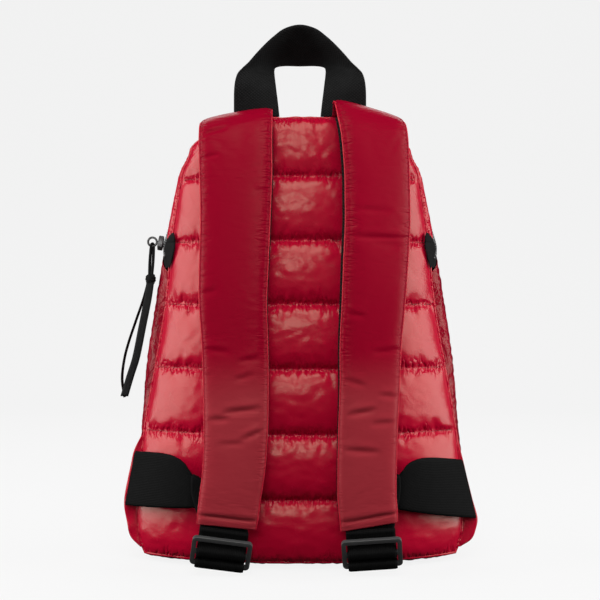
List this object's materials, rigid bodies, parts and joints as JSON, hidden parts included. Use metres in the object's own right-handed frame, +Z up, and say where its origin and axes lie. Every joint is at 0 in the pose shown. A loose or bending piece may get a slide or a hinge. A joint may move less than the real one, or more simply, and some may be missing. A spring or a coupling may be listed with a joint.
{
  "type": "quilted puffer backpack",
  "caption": "Small quilted puffer backpack with padded shoulder straps, a webbing grab handle and a zip over the top, standing on its flat base.",
  "frame": {"origin": "middle of the base's flat, on the surface that the bag stands on", "axes": "+Z up, -Y out of the back panel that rests on the wearer, +X to the right of someone who looks at that panel"},
  "size_m": [0.2926, 0.1687, 0.4291],
  "materials": {
    "quilted_nylon": "glossy quilted nylon, red",
    "lining_mesh": "matt black mesh",
    "webbing": "black woven webbing",
    "zip_tape": "black woven tape",
    "black_plastic": "satin black moulding"
  },
  "bodies": {
    "root": {"back_panel": "quilted_nylon", "front_panel": "quilted_nylon", "side_gusset": "quilted_nylon", "top_strip": "quilted_nylon", "anchor_tab_left": "quilted_nylon", "anchor_tab_right": "quilted_nylon", "strap_pad_left": "quilted_nylon", "strap_pad_right": "quilted_nylon", "strap_lining_left": "lining_mesh", "strap_lining_right": "lining_mesh", "grab_handle": "webbing", "strap_tab_left": "webbing", "strap_tab_right": "webbing", "lower_web_left": "webbing", "lower_web_right": "webbing", "zip_pull_cord": "webbing", "zip_pull_knot": "webbing", "zip_pull_tail_flat": "webbing", "zip_pull_tail_edge": "webbing", "zip_tape": "zip_tape", "zip_coil": "black_plastic", "zip_slider": "black_plastic", "zip_pull_ring": "black_plastic", "adjuster_left": "black_plastic", "adjuster_right": "black_plastic"}
  },
  "joints": []
}
